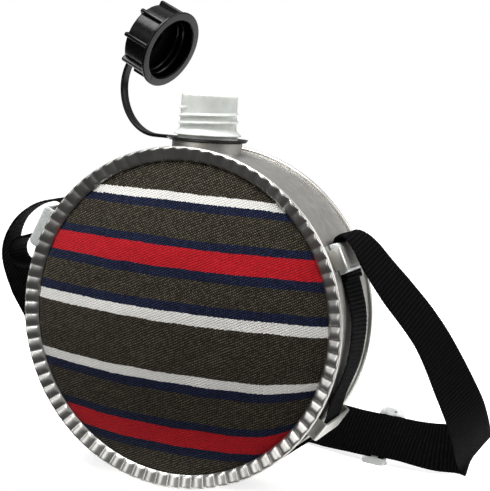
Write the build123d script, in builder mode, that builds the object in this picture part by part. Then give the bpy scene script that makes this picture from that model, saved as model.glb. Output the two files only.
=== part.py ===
"""Round carrying canteen: a plastic bottle between two fabric-faced domes, held in a steel band.

The canteen stands on its rim. X runs to the right across the face, Y runs from the front face
to the back, and Z points up through the neck. The origin is on the ground, under the neck.
All sizes are in millimetres.
"""

from build123d import *
from math import atan2, cos, pi, radians, sin
import os

os.makedirs("parts", exist_ok=True)


def save(part, name):
    """Label a finished piece and write it to its own file."""
    part.label = name
    export_step(part, f"parts/{name}.step")


# ---------------------------------------------------------------- driving dimensions
RIM_RADIUS = 98.0            # over the rolled beads that the canteen stands on
RIM_DEPTH = 62.0             # front bead to back bead
CENTRE_Z = RIM_RADIUS        # height of the disc's centre
BEAD_RADIUS = 1.4            # rolled wire edge of the band
BAND_OUTER = 96.2
SHEET = 0.8                  # steel sheet of the band and the crimp rings
WEBBING_WIDTH = 30.0
WEBBING_THICK = 1.5
GAP = 0.2                    # play between stacked layers

DRUM_RADIUS = 94.8           # outside of the blanket where it turns down inside the band
DOME_START = 15.5            # the drum's side is straight up to this |y|
DOME_RISE = 29.7             # from there out to the crown of each face
SHOULDER_RADIUS = 14.0       # rounding between side and face
BLANKET_WALL = 1.3
FELT_INSET = 1.5             # each layer lies this far inside the blanket's outer surface
FELT_WALL = 1.9
BOTTLE_INSET = 3.6
BOTTLE_WALL = 1.3
BOTTLE_RADIUS = DRUM_RADIUS - BOTTLE_INSET
FELT_EDGE = 19.0             # |y| where the felt pad's edge is cut
BLANKET_EDGE = 23.5          # |y| where the blanket's turned edge ends

NECK_BORE = 13.6
NECK_RADIUS = 16.4
NECK_ROOT_RADIUS = 17.4      # plain part of the neck inside the collar
NECK_TOP = 225.5
NECK_SEAM_Z = 198.4          # where the threaded neck stands on the bottle's throat
THROAT_BORE = 14.2
NECK_BEAD_Z = 202.1          # flat underside of the neck's flared bead
NECK_BEAD_EDGE = 0.8
NECK_BEAD_HEIGHT = 3.2
NECK_BEAD_RADIUS = 19.4
THREAD_HEIGHT = 1.15
THREAD_PITCH = 4.4
THREAD_TURNS = 3
THREAD_TOP_Z = 216.8

RING_Z = 198.6               # underside of the tether's ring
RING_THICK = 1.3
RING_RADIUS = 23.2
RING_BORE = 17.9
TETHER_AZIMUTH = 163.7       # direction in which the tether leaves the neck
TETHER_WIDTH = 5.5
TETHER_THICK = 2.0
HINGE_OUT = 29.3             # flex point of the tether, measured out from the neck axis
HINGE_Z = 199.25

CAP_LENGTH = 19.0
CAP_RADIUS = 20.5
CAP_BORE = 18.4
CAP_FLANGE = 23.6
CAP_TILT = 23.3              # the closed end tips up by this much
CAP_AZIMUTH = 168.6          # the closed end points this way: a slight twist of the tether
CAP_MOUTH_OUT = 31.0         # centre of the cap's mouth, out from the neck axis
CAP_MOUTH_Z = 249.9
CAP_RIBS = 8

CLIP_ANGLES = {
    "clip_upper_right": 25.6,
    "clip_upper_left": 154.4,
    "clip_lower_right": -32.0,
    "clip_lower_left": 212.0,
}
CLIP_LENGTH = 11.6
CLIP_WALL = 1.2
CLIP_HALF_WIDTH = 22.0
CLIP_TOP_RADIUS = 103.3
KEEPER_WALL = 1.3
# Each keeper: angle on the rim, half its width, the radius of its top, and its length along the rim.
# The right one hugs the webbing under its clip; the left one is larger and stands over its clip.
KEEPERS = {
    "keeper_right": (25.6, 16.8, 101.6, 17.6),
    "keeper_left": (154.9, 23.6, 107.3, 25.0),
}

DISC = Plane(origin=(0, 0, CENTRE_Z), x_dir=(1, 0, 0), z_dir=(0, 0, 1))
FACE = Plane(origin=(0, 0, CENTRE_Z), x_dir=(1, 0, 0), z_dir=(0, -1, 0))
DISC_AXIS = Axis((0, 0, CENTRE_Z), (0, 1, 0))


def drum_profile(inset):
    """Half section of the domed drum, every surface moved in by the same inset."""
    radius = DRUM_RADIUS - inset
    rise = DOME_RISE - inset
    shoulder = SHOULDER_RADIUS - inset
    crown = (radius**2 + rise**2 - 2 * radius * shoulder) / (2 * (rise - shoulder))
    lean = atan2(radius - shoulder, crown - rise)
    top = DOME_START + rise
    join = (crown * sin(lean), top - crown * (1 - cos(lean)))
    crown_mid = (crown * sin(lean / 2), top - crown * (1 - cos(lean / 2)))
    bend = (lean + pi / 2) / 2
    shoulder_mid = (radius - shoulder + shoulder * sin(bend), DOME_START + shoulder * cos(bend))
    with BuildSketch(DISC, mode=Mode.PRIVATE) as profile:
        with BuildLine():
            ThreePointArc((0, top), crown_mid, join)
            ThreePointArc(join, shoulder_mid, (radius, DOME_START))
            Line((radius, DOME_START), (radius, -DOME_START))
            mirror(about=Plane.XZ)
            Line((0, top), (0, -top))
        make_face()
    return profile.sketch


# ---------------------------------------------------------------- bottle
with BuildPart() as bottle:
    add(drum_profile(BOTTLE_INSET))
    revolve(axis=DISC_AXIS)
    neck_foot = CENTRE_Z + BOTTLE_RADIUS - 6
    with BuildSketch(Plane.XY.offset(neck_foot)):
        Circle(NECK_ROOT_RADIUS)
    extrude(amount=NECK_SEAM_Z - neck_foot)
    add(drum_profile(BOTTLE_INSET + BOTTLE_WALL))
    revolve(axis=DISC_AXIS, mode=Mode.SUBTRACT)
    with BuildSketch(Plane.XY.offset(CENTRE_Z)):
        Circle(THROAT_BORE)
    extrude(amount=NECK_SEAM_Z - CENTRE_Z, mode=Mode.SUBTRACT)
save(bottle.part, "bottle")

with BuildPart() as bottle_neck:
    with BuildSketch(Plane.XZ):
        with BuildLine():
            Polyline(
                (NECK_BORE, NECK_SEAM_Z),
                (NECK_ROOT_RADIUS, NECK_SEAM_Z),
                (NECK_ROOT_RADIUS, NECK_BEAD_Z),
                (NECK_BEAD_RADIUS, NECK_BEAD_Z),
                (NECK_BEAD_RADIUS, NECK_BEAD_Z + NECK_BEAD_EDGE),
                (NECK_RADIUS, NECK_BEAD_Z + NECK_BEAD_HEIGHT),
                (NECK_RADIUS, NECK_TOP),
                (NECK_BORE, NECK_TOP),
                close=True,
            )
        make_face()
        for turn in range(THREAD_TURNS):
            crest = THREAD_TOP_Z - turn * THREAD_PITCH
            with BuildLine():
                Polyline(
                    (NECK_RADIUS - 0.5, crest - 1.4),
                    (NECK_RADIUS + THREAD_HEIGHT, crest - 0.3),
                    (NECK_RADIUS + THREAD_HEIGHT, crest + 0.3),
                    (NECK_RADIUS - 0.5, crest + 1.4),
                    close=True,
                )
            make_face()
    revolve(axis=Axis.Z)
    fillet(bottle_neck.edges().filter_by(GeomType.CIRCLE).group_by(Axis.Z)[-1], 0.6)
save(bottle_neck.part, "bottle_neck")

# ---------------------------------------------------------------- steel band with its rolled edges
BEAD_Y = RIM_DEPTH / 2 - BEAD_RADIUS
BEAD_CENTRE_RADIUS = RIM_RADIUS - BEAD_RADIUS
BAND_INNER = BAND_OUTER - SHEET
NECK_HOLE = 18.0
SLOT_LENGTH = 8.0
SLOT_WIDTH = CLIP_WALL + 0.4

with BuildPart() as rim_band:
    with BuildSketch(DISC):
        with Locations(((BAND_OUTER + BAND_INNER) / 2, 0)):
            Rectangle(SHEET, 2 * BEAD_Y)
        for side in (-1, 1):
            with Locations((BEAD_CENTRE_RADIUS, side * BEAD_Y)):
                Circle(BEAD_RADIUS)
    revolve(axis=DISC_AXIS)
    with BuildSketch(Plane.XY.offset(CENTRE_Z)):
        Circle(NECK_HOLE)
    extrude(amount=RIM_RADIUS + 5, mode=Mode.SUBTRACT)
    for angle in CLIP_ANGLES.values():
        out = Vector(cos(radians(angle)), 0, sin(radians(angle)))
        slot_plane = Plane(
            origin=Vector(0, 0, CENTRE_Z) + out * (BAND_INNER - 3), x_dir=(0, 1, 0), z_dir=out
        )
        with BuildSketch(slot_plane):
            for side in (-1, 1):
                with Locations((side * (CLIP_HALF_WIDTH - CLIP_WALL / 2), 0)):
                    Rectangle(SLOT_WIDTH, SLOT_LENGTH)
        extrude(amount=8, mode=Mode.SUBTRACT)
save(rim_band.part, "rim_band")

# ---------------------------------------------------------------- crimp rings, blanket faces, felt
RING_OUT_RADIUS = 95.0
RING_IN_RADIUS = 87.8
RING_OUT_Y = 29.7
RING_IN_Y = 28.0


def fluted_ring(side):
    """Sloping crimp ring that clamps the blanket's edge inside the band."""
    with BuildPart() as ring:
        with BuildSketch(DISC):
            with BuildLine():
                Polyline(
                    (RING_IN_RADIUS, side * RING_IN_Y),
                    (RING_OUT_RADIUS, side * RING_OUT_Y),
                    (RING_OUT_RADIUS, side * (RING_OUT_Y + SHEET)),
                    (RING_IN_RADIUS, side * (RING_IN_Y + SHEET)),
                    close=True,
                )
            make_face()
        revolve(axis=DISC_AXIS)
    return ring.part


def domed_shell(inset, wall, side, edge):
    """One face of the drum's skin: the layer beyond the given depth on one side."""
    depth = 4 * RIM_DEPTH
    with BuildPart() as shell:
        with BuildSketch(DISC):
            add(drum_profile(inset))
            add(drum_profile(inset + wall), mode=Mode.SUBTRACT)
            with Locations((0, side * (edge - depth / 2))):
                Rectangle(4 * RIM_RADIUS, depth, mode=Mode.SUBTRACT)
        revolve(axis=DISC_AXIS)
    return shell.part


for side, name in ((-1, "front"), (1, "back")):
    save(fluted_ring(side), f"{name}_fluted_ring")
    save(domed_shell(0, BLANKET_WALL, side, BLANKET_EDGE), f"{name}_blanket")
    save(domed_shell(FELT_INSET, FELT_WALL, side, FELT_EDGE), f"{name}_felt_pad")

with BuildPart() as rim_felt_strip:
    with BuildSketch(FACE):
        Circle(BAND_INNER - GAP)
        Circle(BOTTLE_RADIUS + GAP, mode=Mode.SUBTRACT)
    extrude(amount=DOME_START - 1, both=True)
    with BuildSketch(Plane.XY.offset(CENTRE_Z)):
        Circle(NECK_ROOT_RADIUS + GAP)
    extrude(amount=RIM_RADIUS, mode=Mode.SUBTRACT)
save(rim_felt_strip.part, "rim_felt_strip")

# ---------------------------------------------------------------- steel collar round the neck
COLLAR_BORE = 17.8
COLLAR_RADIUS = 20.3
COLLAR_TOP = RING_Z - 0.4

with BuildPart() as neck_collar:
    with BuildSketch(Plane.XY.offset(CENTRE_Z + BAND_INNER - 6)):
        Circle(COLLAR_RADIUS)
        Circle(COLLAR_BORE, mode=Mode.SUBTRACT)
    extrude(amount=COLLAR_TOP - (CENTRE_Z + BAND_INNER - 6))
    with BuildSketch(FACE):
        Circle(BAND_OUTER + 0.05)
    extrude(amount=RIM_DEPTH, both=True, mode=Mode.SUBTRACT)
save(neck_collar.part, "neck_collar")

# ---------------------------------------------------------------- tether: ring, flexible arm, eyelet
AWAY = Vector(cos(radians(TETHER_AZIMUTH)), sin(radians(TETHER_AZIMUTH)), 0)
ACROSS = Vector(0, 0, 1).cross(AWAY)
TETHER_PLANE = Plane(origin=(0, 0, 0), x_dir=AWAY, z_dir=-ACROSS)
STUB_END = HINGE_OUT - TETHER_THICK / 2 - 0.35
RING_LIP = 1.0

with BuildPart() as retainer_ring:
    with BuildSketch(Plane.XZ):
        with BuildLine():
            Polyline(
                (RING_BORE, RING_Z),
                (RING_RADIUS, RING_Z),
                (RING_RADIUS + 0.3, RING_Z + RING_THICK + RING_LIP),
                (RING_RADIUS - 0.7, RING_Z + RING_THICK + RING_LIP),
                (RING_RADIUS - 1.2, RING_Z + RING_THICK),
                (RING_BORE, RING_Z + RING_THICK),
                close=True,
            )
        make_face()
    revolve(axis=Axis.Z)
    with BuildSketch(Plane(origin=(0, 0, RING_Z), x_dir=AWAY, z_dir=(0, 0, 1))):
        with Locations(((RING_RADIUS - 1 + STUB_END) / 2, 0)):
            Rectangle(STUB_END - RING_RADIUS + 1, TETHER_WIDTH)
    extrude(amount=RING_THICK)
save(retainer_ring.part, "retainer_ring")

# Cap frame: MOUTH_DIR points out of the cap's mouth, towards the neck and down.
CAP_AWAY = Vector(cos(radians(CAP_AZIMUTH)), sin(radians(CAP_AZIMUTH)), 0)
CAP_ACROSS = Vector(0, 0, 1).cross(CAP_AWAY)
MOUTH_DIR = CAP_AWAY * -cos(radians(CAP_TILT)) - Vector(0, 0, 1) * sin(radians(CAP_TILT))
MOUTH_CENTRE = AWAY * CAP_MOUTH_OUT + Vector(0, 0, CAP_MOUTH_Z)
END_CENTRE = MOUTH_CENTRE - MOUTH_DIR * CAP_LENGTH
CAP_PLANE = Plane(origin=END_CENTRE, x_dir=CAP_ACROSS, z_dir=MOUTH_DIR)
EYELET_RADIUS = 5.6
EYELET_BORE = 2.7
EYELET_LIFT = 1.3            # from the cap's closed end to the eyelet
ARM_CENTRE = EYELET_LIFT + TETHER_THICK / 2

# The arm leaves the ring level, turns up, leans back over the cap's end and then lies flat on it.
ARM_OUT = 67.2               # furthest reach of the arm from the neck axis
LEAN_ANGLE = 55.0            # from upright, where the arm is steepest
FLATTEN_RADIUS = 9.0
FLAT_LENGTH = 6.0
eyelet_centre = END_CENTRE - MOUTH_DIR * ARM_CENTRE
eyelet_out = eyelet_centre.dot(AWAY)
eyelet_z = eyelet_centre.Z
lean = radians(LEAN_ANGLE)
tilt = radians(CAP_TILT)
flat_in = FLATTEN_RADIUS * (cos(tilt) - cos(lean)) + FLAT_LENGTH * sin(tilt)
flat_up = FLATTEN_RADIUS * (sin(lean) - sin(tilt)) + FLAT_LENGTH * cos(tilt)
lean_radius = (ARM_OUT - eyelet_out - flat_in) / (1 - cos(lean))
rise_radius = eyelet_z - flat_up - lean_radius * sin(lean) - HINGE_Z

with BuildPart() as tether_strap:
    with BuildSketch(TETHER_PLANE) as arm_profile:
        with BuildLine():
            level = Line((HINGE_OUT, HINGE_Z), (ARM_OUT - rise_radius, HINGE_Z))
            rise = JernArc(level @ 1, level % 1, rise_radius, 90)
            over = JernArc(rise @ 1, rise % 1, lean_radius, LEAN_ANGLE)
            flatten = JernArc(over @ 1, over % 1, FLATTEN_RADIUS, CAP_TILT - LEAN_ANGLE)
            Line(flatten @ 1, (eyelet_out, eyelet_z))
            offset(amount=TETHER_THICK / 2, side=Side.BOTH)
        make_face()
    extrude(amount=TETHER_WIDTH / 2, both=True)
    eyelet_plane = Plane(origin=END_CENTRE - MOUTH_DIR * EYELET_LIFT, x_dir=CAP_ACROSS, z_dir=-MOUTH_DIR)
    with BuildSketch(eyelet_plane):
        Circle(EYELET_RADIUS)
    extrude(amount=TETHER_THICK)
    with BuildSketch(eyelet_plane.offset(-2)):
        Circle(EYELET_BORE)
    extrude(amount=TETHER_THICK + 4, mode=Mode.SUBTRACT)
save(tether_strap.part, "tether_strap")

# ---------------------------------------------------------------- screw cap
END_WALL = 2.2
FLANGE_LENGTH = 2.2
LINER_THICK = 1.2
LINER_BORE = 8.0
CAP_THREAD = 1.3
RIB_WIDTH = 2.4
RIB_TOP = 23.0
RIB_PROUD = 0.5              # the ribs stand past the closed end by this much

with BuildPart() as cap_shell:
    with BuildSketch(CAP_PLANE):
        Circle(CAP_RADIUS)
    extrude(amount=CAP_LENGTH)
    with BuildSketch(CAP_PLANE.offset(-RIB_PROUD)):
        with PolarLocations(CAP_RADIUS - 0.6, CAP_RIBS):
            with Locations(((RIB_TOP - CAP_RADIUS + 0.6) / 2, 0)):
                RectangleRounded(RIB_TOP - CAP_RADIUS + 0.6, RIB_WIDTH, RIB_WIDTH / 2 - 0.1)
    extrude(amount=CAP_LENGTH - FLANGE_LENGTH + RIB_PROUD)
    with BuildSketch(CAP_PLANE.offset(CAP_LENGTH - FLANGE_LENGTH)):
        Circle(CAP_FLANGE)
    extrude(amount=FLANGE_LENGTH)
    with BuildSketch(CAP_PLANE.offset(END_WALL)):
        Circle(CAP_BORE)
    extrude(amount=CAP_LENGTH, mode=Mode.SUBTRACT)
    for turn in range(THREAD_TURNS):
        thread_z = CAP_LENGTH - 4.0 - turn * THREAD_PITCH
        with BuildSketch(Plane(origin=END_CENTRE, x_dir=MOUTH_DIR, z_dir=CAP_ACROSS)):
            with BuildLine():
                Polyline(
                    (thread_z - 1.3, CAP_BORE + 0.4),
                    (thread_z - 0.3, CAP_BORE - CAP_THREAD),
                    (thread_z + 0.3, CAP_BORE - CAP_THREAD),
                    (thread_z + 1.3, CAP_BORE + 0.4),
                    close=True,
                )
            make_face()
        revolve(axis=Axis(END_CENTRE, MOUTH_DIR))
    chamfer(cap_shell.edges().filter_by(GeomType.CIRCLE).sort_by(Axis(END_CENTRE, MOUTH_DIR))[-1], 0.5)
save(cap_shell.part, "cap_shell")

with BuildPart() as cap_liner:
    with BuildSketch(CAP_PLANE.offset(END_WALL + 0.05)):
        Circle(CAP_BORE - 0.3)
        Circle(LINER_BORE, mode=Mode.SUBTRACT)
    extrude(amount=LINER_THICK)
save(cap_liner.part, "cap_liner")

with BuildPart() as cap_button:
    with BuildSketch(CAP_PLANE.offset(-0.02)):
        Circle(2.25)
    extrude(amount=-(EYELET_LIFT + TETHER_THICK + 0.4))
    with BuildSketch(CAP_PLANE.offset(-(EYELET_LIFT + TETHER_THICK + 0.4))):
        Circle(4.4)
    extrude(amount=-1.4)
    fillet(cap_button.edges().filter_by(GeomType.CIRCLE).sort_by(Axis(END_CENTRE, -MOUTH_DIR))[-1], 0.9)
save(cap_button.part, "cap_button")

# ---------------------------------------------------------------- clips and keepers on the band
TAB_DEPTH = 2.4              # how far the clips' tabs reach in through the band's slots
FOOT_RADIUS = BAND_OUTER + 0.1


def rim_section(angle):
    """Plane square to the rim's direction at an angle: local x across the band, local y outwards."""
    return Plane(
        origin=(0, 0, CENTRE_Z),
        x_dir=(0, 1, 0),
        z_dir=(sin(radians(angle)), 0, -cos(radians(angle))),
    )


def bridge(angle, half_width, foot, top, wall, corner, length):
    """U-shaped strip standing across the strap, its two legs down on the band."""
    with BuildPart() as strip:
        with BuildSketch(rim_section(angle)):
            with Locations((0, (foot + top) / 2)):
                RectangleRounded(2 * half_width, top - foot, corner)
            with Locations((0, foot + corner / 2)):
                Rectangle(2 * half_width, corner)
            with Locations((0, (foot + top) / 2 - wall)):
                Rectangle(2 * (half_width - wall), top - foot, mode=Mode.SUBTRACT)
        extrude(amount=length / 2, both=True)
    return strip.part


for name, angle in CLIP_ANGLES.items():
    with BuildPart() as clip:
        add(bridge(angle, CLIP_HALF_WIDTH, FOOT_RADIUS, CLIP_TOP_RADIUS, CLIP_WALL, 2.0, CLIP_LENGTH))
        with BuildSketch(rim_section(angle)):
            for side in (-1, 1):
                with Locations((side * (CLIP_HALF_WIDTH - CLIP_WALL / 2), FOOT_RADIUS - TAB_DEPTH / 2)):
                    Rectangle(CLIP_WALL, TAB_DEPTH)
        extrude(amount=SLOT_LENGTH / 2 - 0.3, both=True)
    save(clip.part, name)

KEEPER_FOOT = FOOT_RADIUS + 0.1
for name, (angle, half_width, top, length) in KEEPERS.items():
    with BuildPart() as keeper:
        add(bridge(angle, half_width, KEEPER_FOOT, top, KEEPER_WALL, 2.2, length))
    save(keeper.part, name)

# ---------------------------------------------------------------- webbing round the rim
RIM_STRAP_INNER = BAND_OUTER + 0.2
STRAP_END_ANGLE = 31.0       # above level, on both sides
start = radians(STRAP_END_ANGLE)
STRAP_START = Plane(
    origin=(0, 0, CENTRE_Z), x_dir=(cos(start), 0, sin(start)), z_dir=(-sin(start), 0, cos(start))
)

with BuildPart() as rim_strap:
    with BuildSketch(STRAP_START):
        with Locations((RIM_STRAP_INNER + WEBBING_THICK / 2, 0)):
            Rectangle(WEBBING_THICK, WEBBING_WIDTH)
    revolve(axis=DISC_AXIS, revolution_arc=180 + 2 * STRAP_END_ANGLE)
save(rim_strap.part, "rim_strap")

# ---------------------------------------------------------------- shoulder strap
# A ribbon is a list of stations, each the middle of the webbing and half of its width as a vector.
OVER_RIM = BAND_OUTER + 2.8  # middle of the second layer, over the rim strap
HALF_WIDTH = WEBBING_WIDTH / 2
ALONG_Y = (0, HALF_WIDTH, 0)
UPRIGHT = (0, 0, HALF_WIDTH)
LEANING = (1.92, 9.34, 11.58)  # top edge leaning back from the disc, where the slide is
TWISTED = (-2.4, 14.8, 0)      # the left loop, turned a little edge-on to the front
EDGE_ON = (-3.6, 14.5, 0)      # and a little more at its top


def on_rim(angle):
    """Point of the second webbing layer at an angle round the rim."""
    return (OVER_RIM * cos(radians(angle)), 0, CENTRE_Z + OVER_RIM * sin(radians(angle)))


def ribbon(stations):
    """Webbing as one ruled loft, with a section at each station and one half-way to the next."""
    path = Spline(*[Vector(*middle) for middle, _ in stations])
    places = [path.param_at_point(Vector(*middle)) for middle, _ in stations]
    halves = [Vector(*half) for _, half in stations]
    sections = [(places[0], halves[0])]
    for index in range(1, len(stations)):
        sections.append(((places[index - 1] + places[index]) / 2, (halves[index - 1] + halves[index]) / 2))
        sections.append((places[index], halves[index]))
    with BuildPart() as webbing:
        for place, half in sections:
            across = half.normalized()
            travel = path % place
            square = travel - across * travel.dot(across)
            with BuildSketch(Plane(origin=path @ place, x_dir=across, z_dir=square)):
                Rectangle(2 * half.length, WEBBING_THICK)
        loft(ruled=True)
    return webbing.part


# The right end goes up through the upper right clip, folds out over it, hangs down beside the rim,
# turns sharply on the ground and runs back past the slide on its edge.
right_stations = [
    (on_rim(18), ALONG_Y),
    (on_rim(24.5), ALONG_Y),
    (on_rim(29), ALONG_Y),
    ((84.8, 0, 149.8), ALONG_Y),
    ((87.4, 0, 153.2), ALONG_Y),
    ((92.8, 0.5, 151.8), (0.5, 14.9, 1.5)),
    ((101.5, 2.5, 142.4), (1.5, 14.2, 4.6)),
    ((116.5, 8, 123), (3, 13.3, 6.3)),
    ((133.5, 16, 101), (3.5, 12.8, 7)),
    ((146, 27, 75), (6, 11.4, 7.7)),
    ((154.5, 42, 50), (7.6, 9.6, 8.7)),
    ((155.5, 63, 30.5), (8.2, 7.1, 10.3)),
    ((154.5, 79, 21), (8.9, 4.8, 13)),
    ((151.5, 89, 15.8), (9.2, 2.4, 14.8)),
    ((145, 90.8, 15.9), (4, 1, 15.2)),
    ((130, 89.4, 16.0), (2.4, 4.8, 14)),
    ((110, 92.1, 16.3), LEANING),
    ((91.6, 96, 16.3), LEANING),
    ((72, 100.2, 16.3), LEANING),
    ((52, 105.5, 16), (1.2, 5.5, 13.9)),
    ((28, 110, 15.4), UPRIGHT),
    ((12, 110.6, 15.4), UPRIGHT),
]
with BuildPart() as shoulder_strap_right:
    add(ribbon(right_stations))
save(shoulder_strap_right.part, "shoulder_strap_right")

# The left end lies behind the other layer on the ground, rises past the rim and turns in over the
# upper left clip, down through it, and out below as a tail that curls back to the clip.
left_stations = [
    ((97.5, 97.3, 14.3), LEANING),
    ((86.5, 99.6, 14.3), LEANING),
    ((72.9, 102.5, 14.3), LEANING),
    ((52.8, 108.8, 14.5), (1.2, 5.5, 13.9)),
    ((28, 113.2, 15), UPRIGHT),
    ((0, 113, 15.4), UPRIGHT),
    ((-28, 108.5, 15.4), UPRIGHT),
    ((-56, 99, 15.8), UPRIGHT),
    ((-80, 86, 19.5), (0, 1.5, 14.9)),
    ((-100, 69, 31), (0, 4.5, 14.3)),
    ((-114, 50, 52), (0, 7.5, 13)),
    ((-122, 32, 78), (0, 11, 10.2)),
    ((-127, 14, 103), (0, 14.3, 4.5)),
    ((-129, 3, 123), TWISTED),
    ((-122.6, 0, 140.5), EDGE_ON),
    ((-109.6, 0, 152), EDGE_ON),
    ((-95, 0, 156.6), (-0.8, 14.9, 0)),
    ((-86.8, 0, 156.2), ALONG_Y),
    ((-83.6, 0, 153.0), ALONG_Y),
    (on_rim(149.5), ALONG_Y),
    (on_rim(155.5), ALONG_Y),
    (on_rim(162), ALONG_Y),
    ((-98.2, 0, 121.5), ALONG_Y),
    ((-105, 0, 116.8), TWISTED),
    ((-114, 0, 115), TWISTED),
    ((-121, 0, 118.5), TWISTED),
    ((-122.3, 0, 126), TWISTED),
    ((-117, 0, 132), TWISTED),
    ((-109.5, 0, 133.5), TWISTED),
]
with BuildPart() as shoulder_strap_left:
    add(ribbon(left_stations))
save(shoulder_strap_left.part, "shoulder_strap_left")

# ---------------------------------------------------------------- slide on the shoulder strap
# The back layer of webbing runs between the slide's middle bar and its two back bars. The front
# layer lies over the middle bar, so only the end rails show beyond its edges.
SLIDE_ALONG = Vector(-0.9785, 0.2063, 0)
SLIDE_UP = Vector(*LEANING).normalized()
SLIDE_BACK = SLIDE_ALONG.cross(SLIDE_UP)
SLIDE_CENTRE = Vector(91.6, 96, 16.3) + SLIDE_BACK * 3.2    # middle of the back layer of webbing
SLIDE_PLANE = Plane(origin=SLIDE_CENTRE, x_dir=SLIDE_ALONG, z_dir=SLIDE_BACK)
SLIDE_LENGTH = 13.0          # over the bars
SLIDE_HEIGHT = 41.6
SLIDE_RAIL = 5.2             # end rails, beyond the webbing's edges
RAIL_LENGTH = 16.0
SLIDE_CORNER = 4.5
SLIDE_HOLE = 1.6             # hanging hole in the upper rail
SLIDE_BAR = 3.0
BAR_THICK = 1.2
WEBBING_GAP = 2.0

with BuildPart() as strap_slide:
    with BuildSketch(SLIDE_PLANE):
        RectangleRounded(RAIL_LENGTH, SLIDE_HEIGHT, SLIDE_CORNER)
        Rectangle(2 * SLIDE_LENGTH, SLIDE_HEIGHT - 2 * SLIDE_RAIL, mode=Mode.SUBTRACT)
        with Locations((-SLIDE_LENGTH / 5, (SLIDE_HEIGHT - SLIDE_RAIL) / 2)):
            Circle(SLIDE_HOLE / 2, mode=Mode.SUBTRACT)
    extrude(amount=WEBBING_GAP / 2 + BAR_THICK, both=True)
    with BuildSketch(SLIDE_PLANE.offset(-WEBBING_GAP / 2 - BAR_THICK)):
        Rectangle(SLIDE_BAR + 1, SLIDE_HEIGHT - 2 * SLIDE_RAIL + 0.4)
    extrude(amount=BAR_THICK)
    with BuildSketch(SLIDE_PLANE.offset(WEBBING_GAP / 2)):
        for end in (-1, 1):
            with Locations((end * (SLIDE_LENGTH - SLIDE_BAR) / 2, 0)):
                Rectangle(SLIDE_BAR, SLIDE_HEIGHT - 2 * SLIDE_RAIL + 0.4)
    extrude(amount=BAR_THICK)
save(strap_slide.part, "strap_slide")
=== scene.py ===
"""Looks of the round carrying canteen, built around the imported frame.

Everything is in metres in the frame's own axes: X to the right across the face, Y from the front
face to the back, Z up through the neck. Sizes are written in millimetres and scaled by MM.
"""

from math import acos, atan2, cos, exp, hypot, pi, radians, sin, sqrt

import bmesh
import bpy
import numpy as np
from mathutils import Matrix, Vector, noise


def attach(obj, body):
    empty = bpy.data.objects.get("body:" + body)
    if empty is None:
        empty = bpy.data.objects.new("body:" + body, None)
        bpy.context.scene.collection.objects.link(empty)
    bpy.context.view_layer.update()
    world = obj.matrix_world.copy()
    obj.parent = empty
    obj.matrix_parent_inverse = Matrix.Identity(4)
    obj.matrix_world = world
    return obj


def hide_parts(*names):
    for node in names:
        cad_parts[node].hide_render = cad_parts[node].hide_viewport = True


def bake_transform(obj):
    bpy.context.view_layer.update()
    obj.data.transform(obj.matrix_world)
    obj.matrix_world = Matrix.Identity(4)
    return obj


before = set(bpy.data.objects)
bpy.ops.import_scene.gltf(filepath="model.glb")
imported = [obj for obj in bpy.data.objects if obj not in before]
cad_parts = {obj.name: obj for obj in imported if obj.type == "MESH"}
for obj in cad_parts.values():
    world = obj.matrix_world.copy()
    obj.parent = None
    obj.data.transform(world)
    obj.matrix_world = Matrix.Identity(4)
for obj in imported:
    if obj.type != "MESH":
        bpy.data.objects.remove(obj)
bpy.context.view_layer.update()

MM = 0.001

# ---------------------------------------------------------------- sizes shared with the frame, in mm
RIM_RADIUS = 98.0
CENTRE_Z = RIM_RADIUS
BAND_OUTER = 96.2
BAND_INNER = 95.4
DRUM_RADIUS = 94.8
DOME_START = 17.5
DOME_RISE = 27.7
SHOULDER_RADIUS = 14.0
BLANKET_EDGE = 23.5
BLANKET_THICK = 1.3
FELT_INSET = 1.5
FELT_THICK = 1.9
FELT_EDGE = 19.0
RING_IN_RADIUS = 90.1
RING_OUT_RADIUS = 97.7
RING_IN_Y = 28.5
RING_OUT_Y = 31.1
FLUTES = 80
WEBBING_WIDTH = 30.0
WEBBING_THICK = 1.5

NECK_BORE = 13.6
NECK_RADIUS = 16.4
NECK_ROOT_RADIUS = 17.4
NECK_SEAM_Z = 198.4
NECK_TOP = 225.5
NECK_BEAD_Z = 202.1
NECK_BEAD_RADIUS = 19.4
THREAD_PITCH = 4.4
THREAD_HEIGHT = 1.15

RING_Z = 198.6
TETHER_AZIMUTH = 163.7
TETHER_WIDTH = 5.5
TETHER_THICK = 2.0
HINGE_Z = 199.25
ARM_OUT = 67.2
LEAN_ANGLE = 55.0
FLATTEN_RADIUS = 9.0
FLAT_LENGTH = 6.0
EYELET_LIFT = 1.3
EYELET_RADIUS = 5.6
EYELET_BORE = 2.7

CAP_LENGTH = 19.0
CAP_RADIUS = 20.5
CAP_BORE = 18.4
CAP_FLANGE = 23.6
CAP_TILT = 23.3
CAP_AZIMUTH = 168.6
CAP_MOUTH_OUT = 31.0
CAP_MOUTH_Z = 249.9
CAP_RIBS = 8
CAP_END_WALL = 2.2

AWAY = Vector((cos(radians(TETHER_AZIMUTH)), sin(radians(TETHER_AZIMUTH)), 0))
CAP_AWAY = Vector((cos(radians(CAP_AZIMUTH)), sin(radians(CAP_AZIMUTH)), 0))
UP = Vector((0, 0, 1))
MOUTH_DIR = -CAP_AWAY * cos(radians(CAP_TILT)) - UP * sin(radians(CAP_TILT))
MOUTH_CENTRE = AWAY * CAP_MOUTH_OUT + UP * CAP_MOUTH_Z
END_CENTRE = MOUTH_CENTRE - MOUTH_DIR * CAP_LENGTH


def place(origin, x_axis, z_axis):
    """Matrix from a local frame in mm to the row frame in metres."""
    x_axis = Vector(x_axis).normalized()
    z_axis = Vector(z_axis).normalized()
    turn = Matrix((x_axis, z_axis.cross(x_axis), z_axis)).transposed()
    return Matrix.Scale(MM, 4) @ Matrix.Translation(Vector(origin)) @ turn.to_4x4()


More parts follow.
